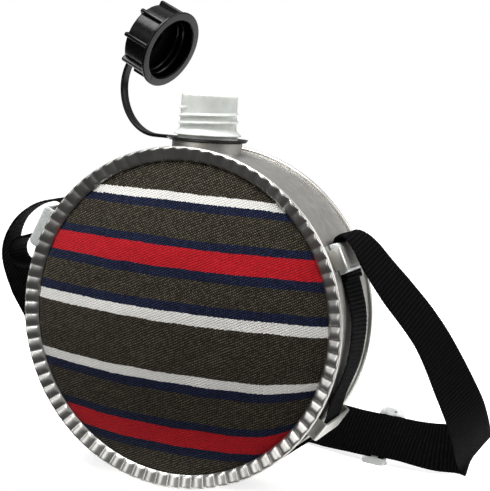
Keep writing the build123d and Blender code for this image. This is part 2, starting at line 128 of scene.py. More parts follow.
NECK_PLACE = place((0, 0, 0), (1, 0, 0), UP)
CAP_PLACE = place(END_CENTRE, UP.cross(CAP_AWAY), MOUTH_DIR)


# ---------------------------------------------------------------- meshes
def show(thing):
    """Puts a new object in the scene."""
    bpy.context.scene.collection.objects.link(thing)


def shade_smooth(mesh, smooth=True):
    """Sets every face of the mesh smooth, or flat."""
    mesh.polygons.foreach_set("use_smooth", [smooth] * len(mesh.polygons))


def add_piece(name, points, faces, matrix=None, smooth=True):
    """New mesh object from points in mm, its faces turned outwards."""
    mesh = bpy.data.meshes.new(name)
    mesh.from_pydata([tuple(point) for point in points], [], faces)
    mesh.transform(matrix or Matrix.Scale(MM, 4))
    sheet = bmesh.new()
    sheet.from_mesh(mesh)
    bmesh.ops.recalc_face_normals(sheet, faces=sheet.faces)
    sheet.to_mesh(mesh)
    sheet.free()
    shade_smooth(mesh, smooth)
    piece = bpy.data.objects.new(name, mesh)
    show(piece)
    return piece


def grid_faces(rows, columns, wrap_rows=False, wrap_columns=False):
    """Quads over a grid of points stored row by row."""
    faces = []
    for row in range(rows if wrap_rows else rows - 1):
        upper = (row + 1) % rows
        for column in range(columns if wrap_columns else columns - 1):
            beside = (column + 1) % columns
            faces.append((
                row * columns + column,
                row * columns + beside,
                upper * columns + beside,
                upper * columns + column,
            ))
    return faces


def capped_faces(rows, columns):
    """Quads round a column of closed rings of points, with a flat face over each end."""
    last = (rows - 1) * columns
    ends = [tuple(range(columns)), tuple(range(last, last + columns))]
    return grid_faces(rows, columns, wrap_columns=True) + ends


def rounded(corners, radius, steps=4):
    """Closed 2-D outline with its corners rounded; a corner may carry its own radius."""
    outline = []
    for index, corner in enumerate(corners):
        point = Vector(corner[:2])
        before = Vector(corners[index - 1][:2]) - point
        after = Vector(corners[(index + 1) % len(corners)][:2]) - point
        reach = corner[2] if len(corner) > 2 else radius
        start = point + before.normalized() * min(reach, before.length * 0.49)
        end = point + after.normalized() * min(reach, after.length * 0.49)
        for step in range(steps + 1):
            t = step / steps
            outline.append(start * (1 - t) ** 2 + point * 2 * t * (1 - t) + end * t * t)
    return outline


def rectangle(x_low, x_high, y_low, y_high):
    """Corners of a rectangle."""
    return [(x_low, y_low), (x_high, y_low), (x_high, y_high), (x_low, y_high)]


def circle(segments):
    """Angles of evenly spaced points round a circle."""
    return [2 * pi * k / segments for k in range(segments)]


def turned(name, outline, segments, matrix):
    """Ring-shaped solid: a closed outline of (radius, height) turned about local Z."""
    points = []
    for radius, height in outline:
        for angle in circle(segments):
            points.append((radius * cos(angle), radius * sin(angle), height))
    return add_piece(name, points, grid_faces(len(outline), segments, True, True), matrix)


def column_solid(name, radius_at, heights, segments, matrix):
    """Solid about local Z whose radius is a function of angle and height, with flat ends."""
    points = []
    for height in heights:
        for angle in circle(segments):
            radius = radius_at(angle, height)
            points.append((radius * cos(angle), radius * sin(angle), height))
    return add_piece(name, points, capped_faces(len(heights), segments), matrix)


def prism(name, outline, depth, matrix):
    """Outline in local XY, given depth along local Z, centred."""
    points = [(p[0], p[1], level) for level in (-depth / 2, depth / 2) for p in outline]
    return add_piece(name, points, capped_faces(2, len(outline)), matrix, smooth=False)


def swept(name, rings, matrix=None):
    """Solid through closed rings of points, with flat ends."""
    points = [point for ring in rings for point in ring]
    return add_piece(name, points, capped_faces(len(rings), len(rings[0])), matrix)


def settle(piece):
    """Applies the piece's modifiers to its mesh."""
    graph = bpy.context.evaluated_depsgraph_get()
    mesh = bpy.data.meshes.new_from_object(piece.evaluated_get(graph))
    piece.modifiers.clear()
    piece.data = mesh
    return piece


def combine(piece, other, operation):
    """Boolean of two closed pieces; the other piece is used up."""
    modifier = piece.modifiers.new("combine", "BOOLEAN")
    modifier.operation = operation
    modifier.solver = "EXACT"
    modifier.object = other
    settle(piece)
    bpy.data.objects.remove(other)
    return piece


def soften(piece, width, angle=35.0, segments=2):
    """Rounds the piece's sharp edges by a width in mm and shades it smooth."""
    bevel = piece.modifiers.new("edges", "BEVEL")
    bevel.width = width * MM
    bevel.segments = segments
    bevel.limit_method = "ANGLE"
    bevel.angle_limit = radians(angle)
    settle(piece)
    smooth_by_angle(piece, angle)
    return piece


def smooth_by_angle(piece, angle=35.0):
    """Smooth shading, with edges sharper than the angle kept sharp."""
    mesh = piece.data
    shade_smooth(mesh)
    sheet = bmesh.new()
    sheet.from_mesh(mesh)
    for edge in sheet.edges:
        edge.smooth = len(edge.link_faces) != 2 or edge.calc_face_angle(0) < radians(angle)
    sheet.to_mesh(mesh)
    sheet.free()


def paint(piece, material):
    """Makes the material the piece's only one."""
    piece.data.materials.clear()
    piece.data.materials.append(material)


def finish_piece(piece, material, body, slot, *replaced):
    """Gives a finished piece its material and body, and hides the CAD nodes it stands for; the slot
    argument is not used.
    """
    paint(piece, material)
    if body:
        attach(piece, body)
    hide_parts(*replaced)


# ---------------------------------------------------------------- materials
def node(tree, kind, inputs=None, **settings):
    """Adds a shader node; inputs are values or the sockets to link."""
    made = tree.nodes.new("ShaderNode" + kind)
    for key, value in settings.items():
        setattr(made, key, value)
    for key, value in (inputs or {}).items():
        if isinstance(value, bpy.types.NodeSocket):
            tree.links.new(value, made.inputs[key])
        else:
            made.inputs[key].default_value = value
    return made


def calc(tree, operation, *values):
    """Math node's output."""
    return node(tree, "Math", dict(enumerate(values)), operation=operation).outputs[0]


def times(tree, first, *others):
    """Product of values or sockets."""
    for other in others:
        first = calc(tree, "MULTIPLY", first, other)
    return first


def plus(tree, first, *others):
    """Sum of values or sockets."""
    for other in others:
        first = calc(tree, "ADD", first, other)
    return first


def wave(tree, value):
    """One hump for each whole step of the value."""
    return calc(tree, "ABSOLUTE", calc(tree, "SINE", times(tree, value, pi)))


def blank_material(name, **sockets):
    """Principled material with its uniform values set on the shader; returns it, its tree and shader."""
    material = bpy.data.materials.new(name)
    material.use_nodes = True
    tree = material.node_tree
    shader = tree.nodes["Principled BSDF"]
    for key, value in sockets.items():
        shader.inputs[key.replace("_", " ")].default_value = value
    return material, tree, shader


def place_socket(tree):
    """The point's place on the object, in mm."""
    coordinates = node(tree, "TexCoord").outputs["Object"]
    scaled = node(tree, "VectorMath", {0: coordinates, "Scale": 1 / MM}, operation="SCALE")
    return scaled.outputs["Vector"]


def grain(tree, vector, size, detail=3.0, stretch=(1, 1, 1)):
    """Noise whose lumps are about size mm across, from 0 to 1."""
    mapped = node(tree, "Mapping", {"Vector": vector, "Scale": stretch}).outputs[0]
    made = node(tree, "TexNoise", {"Vector": mapped, "Scale": 1 / size, "Detail": detail})
    return made.outputs["Fac"]


def span(tree, value, low, high, from_low=0.3, from_high=0.7):
    """Maps a noise value to a range."""
    made = node(tree, "MapRange", {"Value": value, 1: from_low, 2: from_high, 3: low, 4: high})
    return made.outputs[0]


def link_colour(tree, shader, value, dark, light):
    """Colours the surface between two colours."""
    mix = node(tree, "Mix", {0: value, 6: (*dark, 1), 7: (*light, 1)}, data_type="RGBA")
    tree.links.new(mix.outputs[2], shader.inputs["Base Color"])


def bump(tree, shader, height, depth, strength=1.0):
    """Relief of the given depth in mm."""
    made = node(tree, "Bump", {"Height": height, "Distance": depth * MM, "Strength": strength})
    tree.links.new(made.outputs[0], shader.inputs["Normal"])


OLIVE = (0.033, 0.028, 0.020)
NAVY = (0.0085, 0.0115, 0.030)
RED = (0.37, 0.0095, 0.015)
WHITE = (0.66, 0.65, 0.62)
FLECK_OF = {OLIVE: 1.0, NAVY: 0.8, RED: 0.22, WHITE: 0.10}

# The blanket's stripes from the bottom up: lower edge above the disc's centre in mm, and yarn.
STRIPE_REACH = 100.0
STRIPES = (
    (-STRIPE_REACH, OLIVE),
    (-76.9, NAVY),
    (-71.7, RED),
    (-60.6, NAVY),
    (-55.7, OLIVE),
    (-39.7, NAVY),
    (-33.7, WHITE),
    (-28.8, OLIVE),
    (0.6, WHITE),
    (6.3, NAVY),
    (11.9, OLIVE),
    (25.7, NAVY),
    (30.7, RED),
    (42.7, NAVY),
    (47.4, OLIVE),
    (62.8, NAVY),
    (67.5, WHITE),
    (72.4, OLIVE),
)
STRIPE_LEAN = -0.0165        # how far the stripes fall for each mm to the right
BOW = 0.0001                 # and how they bow, in all and by the cube of the height
BOW_BY_HEIGHT = -1.2e-9
PULL_START = 50.0            # right of here, low on the face, the cloth was pulled up as it was clamped
PULL = 4.7e-6
RAGGED_EDGE = 1.3
WANDER = 1.8
TWILL_ANGLE = 27.0
TWILL_PITCH = 1.35           # between the twill's ridges
SPECK_PITCH = 1.15           # between the yarn's floats along a ridge
ROW_STAGGER = 0.37
SPECK_GAIN = 3.9
SPECK_LEVEL = 1.1            # taken off, so that the cloth keeps its mean brightness
DARKEST = 0.3


def stripe_height(tree, where, x, z):
    """Height on the loom of a point of the stretched cloth: bowed, leaning and slightly ragged."""
    bow = plus(tree, BOW, times(tree, times(tree, z, z, z), BOW_BY_HEIGHT))
    shift = times(tree, x, plus(tree, STRIPE_LEAN, times(tree, x, bow)))
    beyond = calc(tree, "MAXIMUM", calc(tree, "SUBTRACT", x, PULL_START), 0.0)
    low = calc(tree, "MINIMUM", z, 0.0)
    pulled = times(tree, times(tree, beyond, beyond), times(tree, low, low))
    shift = plus(tree, shift, times(tree, pulled, PULL))
    ragged = times(tree, calc(tree, "SUBTRACT", grain(tree, where, 0.9, 1.0), 0.5), RAGGED_EDGE)
    wander = times(tree, calc(tree, "SUBTRACT", grain(tree, where, 22.0, 1.0), 0.5), WANDER)
    return plus(tree, calc(tree, "SUBTRACT", z, shift), plus(tree, ragged, wander))


def blanket_material():
    """Striped twill; the stripes bow towards the middle where the cloth is pulled over the dome."""
    material, tree, shader = blank_material("striped_blanket", Roughness=0.9, Sheen_Weight=0.04,
                                            Sheen_Roughness=0.5, Specular_IOR_Level=0.08)
    where = place_socket(tree)
    axes = node(tree, "SeparateXYZ", {0: where}).outputs
    x = axes[0]
    z = calc(tree, "SUBTRACT", axes[2], CENTRE_Z)
    lifted = plus(tree, stripe_height(tree, where, x, z), STRIPE_REACH)
    ramp = node(tree, "ValToRGB", {0: calc(tree, "DIVIDE", lifted, 2 * STRIPE_REACH)})
    ramp.color_ramp.interpolation = "CONSTANT"
    stops = ramp.color_ramp.elements
    while len(stops) > 1:
        stops.remove(stops[0])
    for index, (edge, colour) in enumerate(STRIPES):
        position = (edge + STRIPE_REACH) / (2 * STRIPE_REACH)
        stop = stops[0] if index == 0 else stops.new(position)
        stop.position = position
        stop.color = (*colour, FLECK_OF[colour])
    # Twill ridges, broken into floats of uneven brightness.
    turn = radians(TWILL_ANGLE)
    along = plus(tree, times(tree, x, cos(turn)), times(tree, z, sin(turn)))
    across = calc(tree, "SUBTRACT", times(tree, z, cos(turn)), times(tree, x, sin(turn)))
    waver = times(tree, grain(tree, where, 9.0, 1.0), 1.2)
    row = calc(tree, "DIVIDE", plus(tree, across, waver), TWILL_PITCH)
    row_number = calc(tree, "FLOOR", row)
    stagger = times(tree, row_number, ROW_STAGGER)
    place_in_row = plus(tree, calc(tree, "DIVIDE", along, SPECK_PITCH), stagger)
    cell = node(tree, "CombineXYZ", {0: row_number, 1: calc(tree, "FLOOR", place_in_row)})
    chance = node(tree, "TexWhiteNoise", {"Vector": cell.outputs[0]}).outputs["Value"]
    broken = plus(tree, 0.3, times(tree, wave(tree, place_in_row), 0.7))
    relief = times(tree, wave(tree, row), broken)
    speck = times(tree, calc(tree, "POWER", relief, 2.5), plus(tree, 0.45, times(tree, chance, 0.9)))
    patch = times(tree, grain(tree, where, 3.0, 4.0), 0.5)
    bright = calc(tree, "SUBTRACT", plus(tree, times(tree, speck, SPECK_GAIN), patch), SPECK_LEVEL)
    gain = plus(tree, 1.0, times(tree, bright, ramp.outputs["Alpha"]))
    scale = calc(tree, "MAXIMUM", gain, DARKEST)
    coloured = node(tree, "VectorMath", {0: ramp.outputs["Color"], "Scale": scale}, operation="SCALE")
    tree.links.new(coloured.outputs["Vector"], shader.inputs["Base Color"])
    fuzz = times(tree, grain(tree, where, 0.5, 3.0), 0.5)
    bump(tree, shader, plus(tree, relief, fuzz), 0.22, 0.7)
    return material


def metal_material(name, dark, light, rough, relief, lump, stretch=(1, 1, 1)):
    """Sheet metal with uneven polish, faint rolling lines and shallow dents."""
    material, tree, shader = blank_material(name, Metallic=1.0)
    where = place_socket(tree)
    stain = grain(tree, where, 14.0, 4.0)
    link_colour(tree, shader, span(tree, stain, 0.0, 1.0), dark, light)
    lines = grain(tree, where, 0.8, 3.0, stretch)
    polish = plus(tree, span(tree, lines, rough - 0.03, rough + 0.04),
                  span(tree, grain(tree, where, 5.0, 3.0), -0.03, 0.04))
    tree.links.new(polish, shader.inputs["Roughness"])
    dents = plus(tree, grain(tree, where, lump, 1.0), times(tree, lines, 0.04))
    bump(tree, shader, dents, relief, 0.6)
    return material


def moulded_material(name, dark, light, rough, **sockets):
    """Moulded plastic with a faint orange-peel skin and scuffs."""
    material, tree, shader = blank_material(name, **sockets)
    where = place_socket(tree)
    link_colour(tree, shader, span(tree, grain(tree, where, 7.0, 4.0), 0.0, 1.0), dark, light)
    scuff = span(tree, grain(tree, where, 2.5, 5.0), rough - 0.05, rough + 0.07)
    tree.links.new(scuff, shader.inputs["Roughness"])
    bump(tree, shader, grain(tree, where, 0.7, 2.0), 0.03, 0.5)
    return material


def felt_material():
    """Grey pressed felt, with matted fibres."""
    material, tree, shader = blank_material("pressed_felt", Roughness=0.95, Sheen_Weight=0.3,
                                            Specular_IOR_Level=0.1)
    where = place_socket(tree)
    fibres = grain(tree, where, 0.9, 6.0, (1.0, 2.6, 1.0))
    link_colour(tree, shader, span(tree, fibres, 0.0, 1.0), (0.20, 0.19, 0.17), (0.42, 0.40, 0.37))
    bump(tree, shader, fibres, 0.4, 0.8)
    return material


WEAVE_UV = "webbing"
RIB_PITCH = 2.4              # the webbing's cross ribs
WARP_PITCH = 1.25            # the yarns side by side across it


def webbing_material():
    """Black ribbed webbing: short floats side by side on each cross rib, staggered rib by rib, with painted
    shade in the hollows and painted highlights on the floats.
    """
    material, tree, shader = blank_material("black_webbing", Specular_IOR_Level=0.02)
    flat = node(tree, "UVMap", uv_map=WEAVE_UV).outputs["UV"]
    axes = node(tree, "SeparateXYZ", {0: flat}).outputs
    rib = calc(tree, "DIVIDE", axes[0], RIB_PITCH * MM)
    stagger = times(tree, calc(tree, "FLOOR", rib), 0.5)
    yarn = plus(tree, calc(tree, "DIVIDE", axes[1], WARP_PITCH * MM), stagger)
    hump = calc(tree, "POWER", wave(tree, rib), 0.7)
    relief = times(tree, hump, calc(tree, "POWER", wave(tree, yarn), 0.7))
    where = place_socket(tree)
    uneven = grain(tree, where, 3.0, 4.0)
    # Painted shade and highlight: the colour is darker in the hollows between the floats and lighter on
    # their tops, scaled by the yarn's uneven tone.
    painted_rib_shade = times(tree, calc(tree, "POWER", relief, 2.0), span(tree, uneven, 0.4, 1.0))
    link_colour(tree, shader, painted_rib_shade, (0.0006, 0.0006, 0.0007), (0.010, 0.010, 0.011))
    tree.links.new(span(tree, uneven, 0.65, 0.8), shader.inputs["Roughness"])
    bump(tree, shader, relief, 0.35, 0.9)
    return material


blanket_cloth = blanket_material()
felt = felt_material()
webbing = webbing_material()
steel = metal_material("rolled_steel", (0.52, 0.51, 0.48), (0.60, 0.59, 0.555),
                       0.40, 0.02, 18.0, (0.1, 3.0, 0.1))
collar_steel = metal_material("brushed_steel", (0.36, 0.35, 0.325), (0.46, 0.45, 0.42),
                              0.38, 0.03, 8.0, (0.1, 0.1, 5.0))
tinplate = metal_material("bright_tinplate", (0.40, 0.395, 0.375), (0.56, 0.55, 0.525), 0.33, 0.10, 2.6)
bottle_plastic = moulded_material("natural_polythene", (0.58, 0.60, 0.575), (0.66, 0.68, 0.655), 0.30,
                                  Subsurface_Weight=0.75, Subsurface_Radius=(1.0, 1.0, 0.9),
                                  Subsurface_Scale=0.004, Specular_IOR_Level=0.45)
milky_plastic = moulded_material("milky_plastic", (0.42, 0.44, 0.43), (0.54, 0.56, 0.55), 0.30,
                                 Subsurface_Weight=0.6, Subsurface_Radius=(1.0, 1.0, 0.95),
                                 Subsurface_Scale=0.003, Specular_IOR_Level=0.5)
cap_plastic = moulded_material("black_cap_plastic", (0.0012, 0.0012, 0.0014), (0.0025, 0.0025, 0.003),
                               0.22, Specular_IOR_Level=0.2)
tether_plastic = moulded_material("black_tether_plastic", (0.0015, 0.0015, 0.0018),
                                  (0.003, 0.003, 0.0035), 0.3, Specular_IOR_Level=0.2)
liner_rubber = moulded_material("liner_rubber", (0.001, 0.001, 0.001), (0.002, 0.002, 0.002), 0.6,
                                Specular_IOR_Level=0.1)


# ---------------------------------------------------------------- blanket faces and felt pads
def drum_outline(inset, edge, steps):
    """Points (radius, height out from the disc's middle) from the crown down to the given edge."""
    radius = DRUM_RADIUS - inset
    rise = DOME_RISE - inset
    shoulder = SHOULDER_RADIUS - inset
    crown = (radius**2 + rise**2 - 2 * radius * shoulder) / (2 * (rise - shoulder))
    lean = atan2(radius - shoulder, crown - rise)
    top = DOME_START + rise
    lengths = (crown * lean, shoulder * (pi / 2 - lean), max(0.0, DOME_START - edge))
    outline = []
    for step in range(steps + 1):
        run = sum(lengths) * step / steps
        if run <= lengths[0]:
            angle = run / crown
            outline.append((crown * sin(angle), top - crown * (1 - cos(angle))))
        elif run <= lengths[0] + lengths[1]:
            angle = lean + (run - lengths[0]) / shoulder
            out = radius - shoulder + shoulder * sin(angle)
            outline.append((out, DOME_START + shoulder * cos(angle)))
        else:
            outline.append((radius, DOME_START - (run - lengths[0] - lengths[1])))
    return [point for point in outline if point[1] >= edge]


def face_surface(name, outline, side, segments):
    """Open domed sheet: a ring of points for each point of the outline, closed over a tiny first one."""
    points = []
    for radius, height in outline:
        reach = max(radius, 0.4)
        for angle in circle(segments):
            points.append((reach * cos(angle), side * height, CENTRE_Z + reach * sin(angle)))
    faces = grid_faces(len(outline), segments, wrap_columns=True)
    faces.append(tuple(range(segments)))
    return add_piece(name, points, faces)


PIN_RADIUS = 90.0            # the crimp ring holds the cloth outside this
FOOT_HEIGHT = 26.0           # the dome swells above this height
SWELL_START = 0.72           # share of the dome's height that the cloth starts from
SWELL_LIMIT = 9.0            # furthest that a point may move, in mm
SWELL_SHARE = 0.6            # share of the simulated shape in the result


def swell(piece, side, crown):
    """Cloth simulation: the pinned face is blown up like the padded cloth, then set to its crown height."""
    mesh = piece.data
    start = [vertex.co.copy() for vertex in mesh.vertices]
    foot = FOOT_HEIGHT * MM
    held = piece.vertex_groups.new(name="held")
    for vertex in mesh.vertices:
        radius = hypot(vertex.co.x, vertex.co.z - CENTRE_Z * MM)
        if radius > PIN_RADIUS * MM:
            held.add([vertex.index], 1.0, "REPLACE")
        else:
            vertex.co.y = side * (foot + (abs(vertex.co.y) - foot) * SWELL_START)
    lowered = [vertex.co.copy() for vertex in mesh.vertices]
    cloth = piece.modifiers.new("cloth", "CLOTH")
    settings = cloth.settings
    settings.vertex_group_mass = "held"
    settings.mass = 0.3
    settings.quality = 6
    settings.tension_stiffness = 12
    settings.compression_stiffness = 12
    settings.shear_stiffness = 6
    settings.bending_stiffness = 0.6
    settings.use_pressure = True
    settings.uniform_pressure_force = 4.0
    settings.effector_weights.gravity = 0.0
    scene = bpy.context.scene
    for number in range(1, 21):
        scene.frame_set(number)
    graph = bpy.context.evaluated_depsgraph_get()
    blown = [vertex.co.copy() for vertex in piece.evaluated_get(graph).data.vertices]
    piece.modifiers.clear()
    scene.frame_set(1)
    for vertex, smooth_place, before, after in zip(mesh.vertices, start, lowered, blown):
        move = after - before
        move = move.normalized() * min(move.length, SWELL_LIMIT * MM)
        # The blown shape is blended with the dome, so the piece stays in the frame's space.
        vertex.co = smooth_place.lerp(before + move, SWELL_SHARE)
    top = max(side * vertex.co.y for vertex in mesh.vertices)
    stretch = (crown * MM - foot) / (top - foot)
    for vertex in mesh.vertices:
        if side * vertex.co.y > foot:
            vertex.co.y = side * (foot + (side * vertex.co.y - foot) * stretch)


def cloth_lumps(piece, side, lump, pucker):
    """Uneven padding under the cloth, and puckers where the crimp ring bites on it."""
    for vertex in piece.data.vertices:
        x, z = vertex.co.x / MM, vertex.co.z / MM - CENTRE_Z
        radius = hypot(x, z)
        free = max(0.0, 1 - (radius / PIN_RADIUS) ** 4)
        height = lump * noise.noise(Vector((x / 26, 7.3 * side, z / 26))) * free
        height += 0.35 * lump * noise.noise(Vector((x / 9, 2.1 * side, z / 9))) * free
        if radius > 60:
            bite = exp(-((radius - RING_IN_RADIUS) / 3.5) ** 2)
            height += pucker * bite * cos(FLUTES / 2 * atan2(z, x))
        vertex.co.y += side * height * MM


def domed_piece(name, inset, thick, edge, side, lump, pucker):
    """Simulated domed layer with its thickness."""
    outline = drum_outline(inset, edge, 46)
    piece = face_surface(name, outline, side, 120)
    swell(piece, side, outline[0][1])
    smoother = piece.modifiers.new("finer", "SUBSURF")
    smoother.levels = 1
    settle(piece)
    cloth_lumps(piece, side, lump, pucker)
    shell = piece.modifiers.new("thickness", "SOLIDIFY")
    shell.thickness = thick * MM
    shell.offset = -1.0
    settle(piece)
    shade_smooth(piece.data)
    return piece


FACES = ((-1, "front"), (1, "back"))
CLOTH_LUMPS = 0.55
CLOTH_PUCKERS = 0.3
PAD_LUMPS = 0.15
PAD_CLEAR = 2.2              # the visible pad lies this much deeper, clear of the cloth's puckers
PAD_THICK = FELT_THICK - 0.9

for side, face in FACES:
    cloth_face = domed_piece(f"{face}_blanket_cloth", 0.0, BLANKET_THICK, BLANKET_EDGE,
                             side, CLOTH_LUMPS, CLOTH_PUCKERS)
    finish_piece(cloth_face, blanket_cloth, "canteen", "blanket", f"{face}_blanket")
    pad = domed_piece(f"{face}_felt_padding", FELT_INSET + PAD_CLEAR, PAD_THICK, FELT_EDGE,
                      side, PAD_LUMPS, 0.0)
    finish_piece(pad, felt, "canteen", "felt", f"{face}_felt_pad")


# ---------------------------------------------------------------- fluted crimp rings
RING_SHEET = 0.5
FLUTE_HEIGHT = 1.3
SAMPLES_PER_FLUTE = 10


def flute_height(share, radius):
    """Height of the crimped pillow at a share of its pitch and a radius."""
    pillow = 1 - abs(2 * share - 1) ** 2.1
    rise = min(1.0, max(0.0, (radius - RING_IN_RADIUS) / 2.2))
    fall = min(1.0, max(0.0, (RING_OUT_RADIUS - 0.1 - radius) / 1.9))
    ends = sqrt(max(0.0, 1 - (1 - rise) ** 2)) * sqrt(max(0.0, 1 - (1 - fall) ** 2))
    return FLUTE_HEIGHT * pillow * (0.15 + 0.85 * ends) * (ends > 0)


def fluted_ring(name, side):
    """Crimped ring: a front and a back surface over the same pillows, closed at both edges."""
    radii = np.concatenate((
        [RING_IN_RADIUS - 0.25],
        np.linspace(RING_IN_RADIUS, RING_IN_RADIUS + 2.2, 6),
        np.linspace(RING_IN_RADIUS + 2.9, RING_OUT_RADIUS - 2.3, 4),
        np.linspace(RING_OUT_RADIUS - 1.9, RING_OUT_RADIUS - 0.1, 7),
    ))
    segments = FLUTES * SAMPLES_PER_FLUTE
    points = []
    for layer, order in ((0.0, radii), (RING_SHEET, radii[::-1])):
        for radius in order:
            slope = (radius - RING_IN_RADIUS) / (RING_OUT_RADIUS - RING_IN_RADIUS)
            base = RING_IN_Y + (RING_OUT_Y - RING_IN_Y) * slope + RING_SHEET - layer
            for k, angle in enumerate(circle(segments)):
                flute, share = divmod(k / SAMPLES_PER_FLUTE, 1.0)
                uneven = 1 + 0.16 * noise.noise(Vector((flute * 1.7, side * 3.1, 0.5)))
                height = base + flute_height(share, radius) * uneven
                points.append((radius * cos(angle), side * height, CENTRE_Z + radius * sin(angle)))
    return add_piece(name, points, grid_faces(2 * len(radii), segments, True, True))


for side, face in FACES:
    ring = fluted_ring(f"{face}_crimp_ring", side)
    finish_piece(ring, tinplate, "canteen", "tinplate", f"{face}_fluted_ring")


# ---------------------------------------------------------------- neck of the bottle
THREAD_FADE = 0.08           # share of a turn in which the thread rises from nothing


def helix_bump(angle, height, start_angle, start_height, turns, half_width):
    """Share of the thread's height at a place: a bump that climbs with the angle and fades at its ends."""
    climbed = (height - start_height) / THREAD_PITCH - (angle - start_angle) / (2 * pi)
    nearest = round(climbed)
    turned_by = nearest + (angle - start_angle) / (2 * pi)
    off = abs(climbed - nearest) * THREAD_PITCH / half_width
    if off >= 1 or turned_by < 0 or turned_by > turns:
        return 0.0
    fade = min(1.0, turned_by / THREAD_FADE, (turns - turned_by) / THREAD_FADE)
    return fade * (0.5 + 0.5 * cos(pi * off))


BEAD_TOP = NECK_BEAD_Z + 0.8
FLARE_LENGTH = 3.0
NECK_TAPER = 0.0125
LIP_ROUND = 0.8
LIP_CHAMFER = 0.9
NECK_STEP = 0.3
NECK_SEGMENTS = 128


def build_neck():
    """Neck with its climbing thread, flared bead and rounded lip, bored through."""
    def radius_at(angle, height):
        if height < NECK_BEAD_Z:
            return NECK_ROOT_RADIUS
        if height < BEAD_TOP:
            return NECK_BEAD_RADIUS
        flare = (height - BEAD_TOP) / FLARE_LENGTH
        plain = NECK_RADIUS - NECK_TAPER * (height - 206)
        if flare < 1:
            plain += (NECK_BEAD_RADIUS - NECK_RADIUS) * (1 - flare) ** 1.5
        if height > NECK_TOP - LIP_ROUND:
            plain -= 0.5 * ((height - NECK_TOP + LIP_ROUND) / LIP_ROUND) ** 2
        return plain + THREAD_HEIGHT * helix_bump(angle, height, pi, 208.0, 2.18, 1.25)

    heights = [NECK_SEAM_Z, NECK_BEAD_Z - 0.06, NECK_BEAD_Z + 0.02]
    height = NECK_BEAD_Z + 0.7
    while height < NECK_TOP - 0.01:
        heights.append(height)
        height += NECK_STEP
    heights.append(NECK_TOP)
    neck = column_solid("neck_outer", radius_at, heights, NECK_SEGMENTS, NECK_PLACE)

    def bore_at(angle, height):
        return NECK_BORE + max(0.0, 0.5 * (height - NECK_TOP + LIP_CHAMFER))

    bore_heights = [NECK_SEAM_Z - 2, NECK_TOP - LIP_CHAMFER, NECK_TOP + 1]
    bore = column_solid("neck_bore_cut", bore_at, bore_heights, NECK_SEGMENTS, NECK_PLACE)
    neck = combine(neck, bore, "DIFFERENCE")
    neck.name = "threaded_neck"
    smooth_by_angle(neck, 50)
    return neck


finish_piece(build_neck(), bottle_plastic, "canteen", "bottle_plastic", "bottle_neck")


# ---------------------------------------------------------------- screw cap
RIB_WIDTH = 2.4
RIB_TOP = 23.0
RIB_PROUD = 0.5
FLANGE_LENGTH = 2.2
FLANGE_START = CAP_LENGTH - FLANGE_LENGTH
CAP_SEGMENTS = 144
# The ribs' ends are rounded: height above the cap's end, and how much the rib is smaller there.
RIB_LEVELS = ((-RIB_PROUD, 0.55), (-RIB_PROUD + 0.25, 0.2), (0.4, 0.0), (FLANGE_START + 1.0, 0.0))


def build_rib(angle):
    """One grip rib of the cap, sunk into its side."""
    outward = Vector((cos(angle), sin(angle), 0))
    sideways = Vector((-sin(angle), cos(angle), 0))
    inner = CAP_RADIUS - 2.0
    rings = []
    for height, shrink in RIB_LEVELS:
        top = RIB_TOP - shrink
        half = RIB_WIDTH / 2 - shrink * 0.5
        outline = rounded([(inner, -RIB_WIDTH / 2, 0.1), (top, -half, 1.0), (top, half, 1.0),
                           (inner, RIB_WIDTH / 2, 0.1)], 1.0, 5)
        ring = [outward * out + sideways * across for out, across in outline]
        rings.append([(point.x, point.y, height) for point in ring])
    return swept("rib", rings, CAP_PLACE)


def build_cap():
    """Cap with its grip ribs, rounded edges and threaded inside, in the cap's own frame."""
    outline = rounded([
        (0.4, 0.0, 0.0), (CAP_RADIUS, 0.0, 1.4), (CAP_RADIUS + 0.35, FLANGE_START, 0.8),
        (CAP_FLANGE, FLANGE_START + 0.5, 0.7), (CAP_FLANGE, CAP_LENGTH, 0.7), (0.4, CAP_LENGTH, 0.0),
    ], 0.5, 5)
    # The outline's first and last corners lie on the axis and are left to the flat ends.
    rings = []
    for radius, height in outline[6:-6]:
        rings.append([(radius * cos(turn), radius * sin(turn), height) for turn in circle(CAP_SEGMENTS)])
    cap = swept("ribbed_cap", rings, CAP_PLACE)
    for angle in circle(CAP_RIBS):
        cap = combine(cap, build_rib(angle), "UNION")

    def cavity_radius(angle, height):
        mouth = max(0.0, 0.6 * (height - CAP_LENGTH + 1.0))
        thread = helix_bump(-angle, height, 0.0, 4.6, 2.3, 1.2)
        return CAP_BORE + mouth - 0.8 * thread

    levels = [float(height) for height in np.arange(CAP_END_WALL, CAP_LENGTH, 0.35)]
    levels += [CAP_LENGTH, CAP_LENGTH + 1.0]
    cavity = column_solid("cavity", cavity_radius, levels, CAP_SEGMENTS, CAP_PLACE)
    cap = combine(cap, cavity, "DIFFERENCE")
    smooth_by_angle(cap, 40)
    return cap


finish_piece(build_cap(), cap_plastic, "cap", "cap_plastic", "cap_shell")
paint(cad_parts["cap_liner"], liner_rubber)
paint(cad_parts["cap_button"], cap_plastic)


